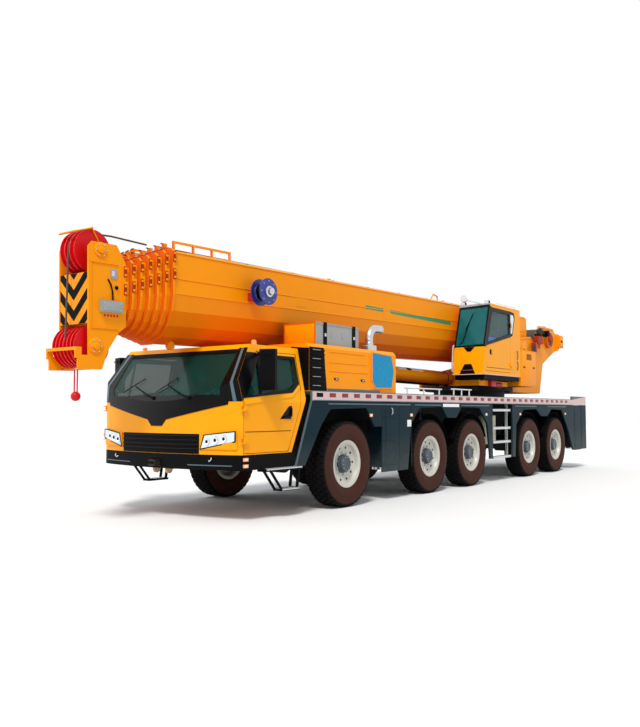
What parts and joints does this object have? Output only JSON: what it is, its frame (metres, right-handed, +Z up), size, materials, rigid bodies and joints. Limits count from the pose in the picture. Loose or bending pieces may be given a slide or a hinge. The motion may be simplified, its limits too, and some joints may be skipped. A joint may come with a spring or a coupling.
{
  "type": "mobile crane",
  "caption": "All-terrain mobile crane stowed for the road: steered wheeled carrier with cab and outriggers, slewing superstructure and a luffing telescopic boom laid over the cab.",
  "frame": {"origin": "on the ground under the middle of the machine's overall box", "axes": "+X points to the machine's front, +Y to its left, +Z up"},
  "size_m": [16.0707, 3.387, 4.014],
  "materials": {
    "aluminium": "bare aluminium",
    "body_yellow": "gloss golden yellow paint",
    "cast": "cast",
    "dark_grey": "satin dark grey paint",
    "dark_teal": "satin dark teal paint",
    "glass": "tinted glass",
    "light_grey": "light grey paint",
    "red": "red paint",
    "steel": "ground and plated steel",
    "tyre": "black rubber",
    "white": "white paint"
  },
  "bodies": {
    "carrier": {"carrier_frame": "dark_grey", "axles": "cast", "deck": "light_grey", "side_panels": "dark_teal", "carrier_cab": "body_yellow", "cab_glass": "glass", "cab_bumper": "dark_grey", "cab_steps": "dark_grey", "nose_frame": "dark_grey", "engine": "cast", "engine_hood": "body_yellow", "deck_locker": "light_grey", "exhaust_stack": "steel", "deck_rails": "white", "access_ladder": "aluminium"},
    "wheel_1_left": {"wheel_1_left": "tyre"},
    "knuckle_1_left": {"knuckle_1_left": "cast"},
    "wheel_1_right": {"wheel_1_right": "tyre"},
    "knuckle_1_right": {"knuckle_1_right": "cast"},
    "wheel_2_left": {"wheel_2_left": "tyre"},
    "knuckle_2_left": {"knuckle_2_left": "cast"},
    "wheel_2_right": {"wheel_2_right": "tyre"},
    "knuckle_2_right": {"knuckle_2_right": "cast"},
    "wheel_3_left": {"wheel_3_left": "tyre"},
    "wheel_3_right": {"wheel_3_right": "tyre"},
    "wheel_4_left": {"wheel_4_left": "tyre"},
    "knuckle_4_left": {"knuckle_4_left": "cast"},
    "wheel_4_right": {"wheel_4_right": "tyre"},
    "knuckle_4_right": {"knuckle_4_right": "cast"},
    "wheel_5_left": {"wheel_5_left": "tyre"},
    "knuckle_5_left": {"knuckle_5_left": "cast"},
    "wheel_5_right": {"wheel_5_right": "tyre"},
    "knuckle_5_right": {"knuckle_5_right": "cast"},
    "cab_door_left": {"cab_door_left": "body_yellow"},
    "cab_door_right": {"cab_door_right": "body_yellow"},
    "outrigger_beam_front_left": {"outrigger_beam_front_left": "dark_teal"},
    "outrigger_jack_front_left": {"outrigger_jack_front_left": "steel"},
    "outrigger_beam_front_right": {"outrigger_beam_front_right": "dark_teal"},
    "outrigger_jack_front_right": {"outrigger_jack_front_right": "steel"},
    "outrigger_beam_rear_left": {"outrigger_beam_rear_left": "dark_teal"},
    "outrigger_jack_rear_left": {"outrigger_jack_rear_left": "steel"},
    "outrigger_beam_rear_right": {"outrigger_beam_rear_right": "dark_teal"},
    "outrigger_jack_rear_right": {"outrigger_jack_rear_right": "steel"},
    "superstructure": {"turntable": "body_yellow", "operator_cab": "body_yellow", "rear_cover": "body_yellow"},
    "operator_cab_door": {"operator_cab_door": "body_yellow"},
    "winch_drum": {"winch_drum": "steel"},
    "boom_base": {"boom_base": "body_yellow"},
    "boom_section_2": {"boom_section_2": "body_yellow"},
    "boom_section_3": {"boom_section_3": "body_yellow"},
    "boom_section_4": {"boom_section_4": "body_yellow"},
    "boom_section_5": {"boom_section_5": "body_yellow"},
    "boom_section_6": {"boom_section_6": "body_yellow"},
    "boom_section_7": {"boom_section_7": "body_yellow", "hoist_limit_weight": "red"},
    "head_sheave_top": {"head_sheave_top": "red"},
    "head_sheaves_low": {"head_sheaves_low": "red"},
    "luff_barrel": {"luff_barrel": "body_yellow"},
    "luff_rod": {"luff_rod": "steel"}
  },
  "joints": [
    {"name": "steer_1_left", "type": "hinge", "parent": "carrier", "child": "knuckle_1_left", "pos_m": [3.7146, 1.1775, 0.683], "axis": [0, 0, 1], "range_deg": [-32, 32]},
    {"name": "spin_1_left", "type": "hinge", "parent": "knuckle_1_left", "child": "wheel_1_left", "pos_m": [3.7146, 1.2775, 0.683], "axis": [0, 1, 0], "continuous": true},
    {"name": "steer_1_right", "type": "hinge", "parent": "carrier", "child": "knuckle_1_right", "pos_m": [3.7146, -1.1775, 0.683], "axis": [0, 0, 1], "range_deg": [-32.05, 32.05]},
    {"name": "spin_1_right", "type": "hinge", "parent": "knuckle_1_right", "child": "wheel_1_right", "pos_m": [3.7146, -1.2775, 0.683], "axis": [0, 1, 0], "continuous": true},
    {"name": "steer_2_left", "type": "hinge", "parent": "carrier", "child": "knuckle_2_left", "pos_m": [1.0046, 1.1775, 0.683], "axis": [0, 0, 1], "range_deg": [-25.01, 25.01]},
    {"name": "spin_2_left", "type": "hinge", "parent": "knuckle_2_left", "child": "wheel_2_left", "pos_m": [1.0046, 1.2775, 0.683], "axis": [0, 1, 0], "continuous": true},
    {"name": "steer_2_right", "type": "hinge", "parent": "carrier", "child": "knuckle_2_right", "pos_m": [1.0046, -1.1775, 0.683], "axis": [0, 0, 1], "range_deg": [-25.01, 25.01]},
    {"name": "spin_2_right", "type": "hinge", "parent": "knuckle_2_right", "child": "wheel_2_right", "pos_m": [1.0046, -1.2775, 0.683], "axis": [0, 1, 0], "continuous": true},
    {"name": "spin_3_left", "type": "hinge", "parent": "carrier", "child": "wheel_3_left", "pos_m": [-0.7304, 1.2775, 0.683], "axis": [0, 1, 0], "continuous": true},
    {"name": "spin_3_right", "type": "hinge", "parent": "carrier", "child": "wheel_3_right", "pos_m": [-0.7304, -1.2775, 0.683], "axis": [0, 1, 0], "continuous": true},
    {"name": "steer_4_left", "type": "hinge", "parent": "carrier", "child": "knuckle_4_left", "pos_m": [-3.7704, 1.1775, 0.683], "axis": [0, 0, -1], "range_deg": [-18.77, 18.77]},
    {"name": "spin_4_left", "type": "hinge", "parent": "knuckle_4_left", "child": "wheel_4_left", "pos_m": [-3.7704, 1.2775, 0.683], "axis": [0, 1, 0], "continuous": true},
    {"name": "steer_4_right", "type": "hinge", "parent": "carrier", "child": "knuckle_4_right", "pos_m": [-3.7704, -1.1775, 0.683], "axis": [0, 0, -1], "range_deg": [-18.77, 18.77]},
    {"name": "spin_4_right", "type": "hinge", "parent": "knuckle_4_right", "child": "wheel_4_right", "pos_m": [-3.7704, -1.2775, 0.683], "axis": [0, 1, 0], "continuous": true},
    {"name": "steer_5_left", "type": "hinge", "parent": "carrier", "child": "knuckle_5_left", "pos_m": [-5.5004, 1.1775, 0.683], "axis": [0, 0, -1], "range_deg": [-26, 26]},
    {"name": "spin_5_left", "type": "hinge", "parent": "knuckle_5_left", "child": "wheel_5_left", "pos_m": [-5.5004, 1.2775, 0.683], "axis": [0, 1, 0], "continuous": true},
    {"name": "steer_5_right", "type": "hinge", "parent": "carrier", "child": "knuckle_5_right", "pos_m": [-5.5004, -1.1775, 0.683], "axis": [0, 0, -1], "range_deg": [-26.05, 26.05]},
    {"name": "spin_5_right", "type": "hinge", "parent": "knuckle_5_right", "child": "wheel_5_right", "pos_m": [-5.5004, -1.2775, 0.683], "axis": [0, 1, 0], "continuous": true},
    {"name": "cab_door_left_swing", "type": "hinge", "parent": "carrier", "child": "cab_door_left", "pos_m": [6.1546, 1.45, 1.34], "axis": [0, 0, -1], "range_deg": [0, 70]},
    {"name": "cab_door_right_swing", "type": "hinge", "parent": "carrier", "child": "cab_door_right", "pos_m": [6.1546, -1.45, 1.34], "axis": [0, 0, 1], "range_deg": [0, 70]},
    {"name": "outrigger_front_left_slide", "type": "slide", "parent": "carrier", "child": "outrigger_beam_front_left", "axis": [0, 1, 0], "range_m": [0, 2.1]},
    {"name": "jack_front_left_extend", "type": "slide", "parent": "outrigger_beam_front_left", "child": "outrigger_jack_front_left", "axis": [0, 0, -1], "range_m": [0, 0.56]},
    {"name": "outrigger_front_right_slide", "type": "slide", "parent": "carrier", "child": "outrigger_beam_front_right", "axis": [0, -1, 0], "range_m": [0, 2.1]},
    {"name": "jack_front_right_extend", "type": "slide", "parent": "outrigger_beam_front_right", "child": "outrigger_jack_front_right", "axis": [0, 0, -1], "range_m": [0, 0.56]},
    {"name": "outrigger_rear_left_slide", "type": "slide", "parent": "carrier", "child": "outrigger_beam_rear_left", "axis": [0, 1, 0], "range_m": [0, 2.1]},
    {"name": "jack_rear_left_extend", "type": "slide", "parent": "outrigger_beam_rear_left", "child": "outrigger_jack_rear_left", "axis": [0, 0, -1], "range_m": [0, 0.56]},
    {"name": "outrigger_rear_right_slide", "type": "slide", "parent": "carrier", "child": "outrigger_beam_rear_right", "axis": [0, -1, 0], "range_m": [0, 2.1]},
    {"name": "jack_rear_right_extend", "type": "slide", "parent": "outrigger_beam_rear_right", "child": "outrigger_jack_rear_right", "axis": [0, 0, -1], "range_m": [0, 0.56]},
    {"name": "slew", "type": "hinge", "parent": "carrier", "child": "superstructure", "pos_m": [-3.5854, 0, 1.9904], "axis": [0, 0, 1], "continuous": true},
    {"name": "operator_cab_door_swing", "type": "hinge", "parent": "superstructure", "child": "operator_cab_door", "pos_m": [-2.8254, 1.44, 3.01], "axis": [0, 0, 1], "range_deg": [0, 75]},
    {"name": "winch_turn", "type": "hinge", "parent": "superstructure", "child": "winch_drum", "pos_m": [-7.0854, 0, 3.48], "axis": [0, 1, 0], "continuous": true},
    {"name": "boom_luff", "type": "hinge", "parent": "superstructure", "child": "boom_base", "pos_m": [-5.4854, 0, 3.15], "axis": [0, -1, 0], "range_deg": [0, 84]},
    {"name": "telescope_2", "type": "slide", "parent": "boom_base", "child": "boom_section_2", "axis": [0.9998, 0, -0.0209], "range_m": [0, 9.8]},
    {"name": "telescope_3", "type": "slide", "parent": "boom_section_2", "child": "boom_section_3", "axis": [0.9998, 0, -0.0209], "range_m": [0, 9.8]},
    {"name": "telescope_4", "type": "slide", "parent": "boom_section_3", "child": "boom_section_4", "axis": [0.9998, 0, -0.0209], "range_m": [0, 9.8]},
    {"name": "telescope_5", "type": "slide", "parent": "boom_section_4", "child": "boom_section_5", "axis": [0.9998, 0, -0.0209], "range_m": [0, 9.8]},
    {"name": "telescope_6", "type": "slide", "parent": "boom_section_5", "child": "boom_section_6", "axis": [0.9998, 0, -0.0209], "range_m": [0, 9.8]},
    {"name": "telescope_7", "type": "slide", "parent": "boom_section_6", "child": "boom_section_7", "axis": [0.9998, 0, -0.0209], "range_m": [0, 9.8]},
    {"name": "head_sheave_top_turn", "type": "hinge", "parent": "boom_section_7", "child": "head_sheave_top", "pos_m": [7.67698, 0, 3.60345], "axis": [0, 1, 0], "continuous": true},
    {"name": "head_sheaves_low_turn", "type": "hinge", "parent": "boom_section_7", "child": "head_sheaves_low", "pos_m": [7.73079, 0, 2.35205], "axis": [0, 1, 0], "continuous": true},
    {"name": "luff_barrel_tilt", "type": "hinge", "parent": "superstructure", "child": "luff_barrel", "pos_m": [-2.5854, 0, 2.27], "axis": [0, -1, 0], "range_deg": [-0.5, 97.95]},
    {"name": "luff_rod_slide", "type": "slide", "parent": "luff_barrel", "child": "luff_rod", "axis": [0.9999, 0, 0.0123], "range_m": [-0.005, 3.7448]}
  ],
  "couplings": [
    {"joint": "steer_1_right", "follows": "steer_1_left", "ratio": 1},
    {"joint": "steer_2_left", "follows": "steer_1_left", "ratio": 0.78},
    {"joint": "steer_2_right", "follows": "steer_1_left", "ratio": 0.78},
    {"joint": "steer_4_left", "follows": "steer_5_left", "ratio": 0.72},
    {"joint": "steer_4_right", "follows": "steer_5_left", "ratio": 0.72},
    {"joint": "steer_5_right", "follows": "steer_5_left", "ratio": 1},
    {"joint": "luff_barrel_tilt", "follows": "boom_luff", "ratio": 1.1602},
    {"joint": "luff_rod_slide", "follows": "boom_luff", "m_per_rad": 2.5509}
  ]
}
